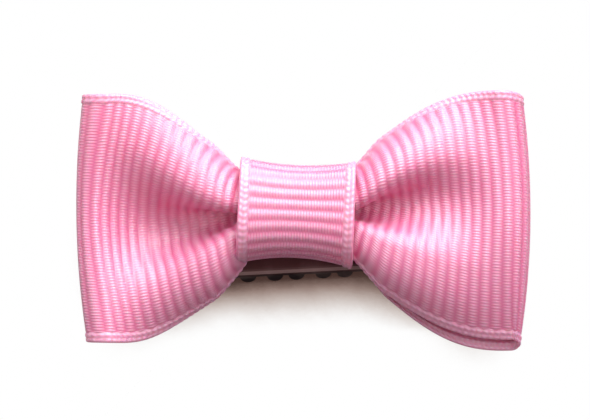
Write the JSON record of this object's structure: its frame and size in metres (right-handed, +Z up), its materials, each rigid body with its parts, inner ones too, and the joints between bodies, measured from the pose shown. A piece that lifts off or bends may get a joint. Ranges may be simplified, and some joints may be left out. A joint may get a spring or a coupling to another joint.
{
  "type": "hair bow",
  "caption": "Ribbed ribbon bow, pinched and wrapped in the middle, glued to a toothed spring clip that grips hair.",
  "frame": {"origin": "on the clip's flat underside, straight under the middle of the wrap", "axes": "+X along the bow towards the clip's tip, +Y across the ribbon, +Z up out of the bow's face"},
  "size_m": [0.041, 0.0233, 0.0116],
  "materials": {
    "ribbon": "ribbed pink grosgrain with a soft sheen",
    "thread": "pale pink sewing thread",
    "glue": "set hot glue, milky",
    "clip": "dark nickel plate, semi-gloss",
    "spring": "bright spring wire"
  },
  "bodies": {
    "bow": {"bow_ribbon": "ribbon", "center_wrap": "ribbon", "binding_thread": "thread", "glue_pad": "glue", "upper_jaw": "clip", "hinge_pin": "clip", "torsion_spring": "spring"},
    "lower_jaw": {"lower_jaw": "clip"}
  },
  "joints": [
    {"name": "jaw_pivot", "type": "hinge", "parent": "bow", "child": "lower_jaw", "pos_m": [-0.00799, -0.00042, 0.002], "axis": [-0.0523, 0.9986, 0], "range_deg": [0, 15], "stiffness_Nm_per_rad": 0.02, "springref_deg": -34.38, "deforming": ["torsion_spring"]}
  ]
}
